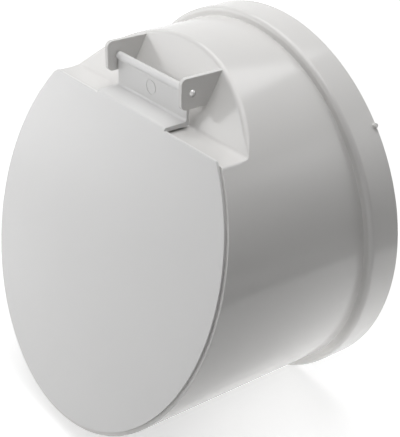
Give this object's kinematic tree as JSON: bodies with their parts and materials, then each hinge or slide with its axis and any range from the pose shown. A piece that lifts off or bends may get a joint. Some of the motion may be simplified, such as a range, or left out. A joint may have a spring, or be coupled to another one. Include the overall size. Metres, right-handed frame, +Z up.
{
  "type": "drain flap valve",
  "caption": "Pipe-end flap valve: a white plastic pipe socket cut off at a slant, closed by a thin round flap that hangs from a pin between two ears and falls shut by itself.",
  "frame": {"origin": "on the pipe axis, at the outer end of the socket's straight bore", "axes": "+Y along the pipe axis out of the socket mouth, +Z up towards the hinge, X across, parallel to the hinge pin"},
  "size_m": [0.1772, 0.1206, 0.1771],
  "materials": {
    "body_plastic": "glossy off-white moulded plastic",
    "flap_plastic": "glossy off-white moulded plastic with a faint satin face",
    "seal_rubber": "matt black moulded rubber",
    "pin_steel": "bright drawn steel with polished domes"
  },
  "bodies": {
    "valve_body": {"socket_body": "body_plastic", "seal_ring": "seal_rubber", "hinge_pin": "pin_steel"},
    "swing_flap": {"flap": "flap_plastic"}
  },
  "joints": [
    {"name": "flap_hinge", "type": "hinge", "parent": "valve_body", "child": "swing_flap", "pos_m": [0, -0.06413, 0.07145], "axis": [-1, 0, 0], "range_deg": [0, 90]}
  ]
}
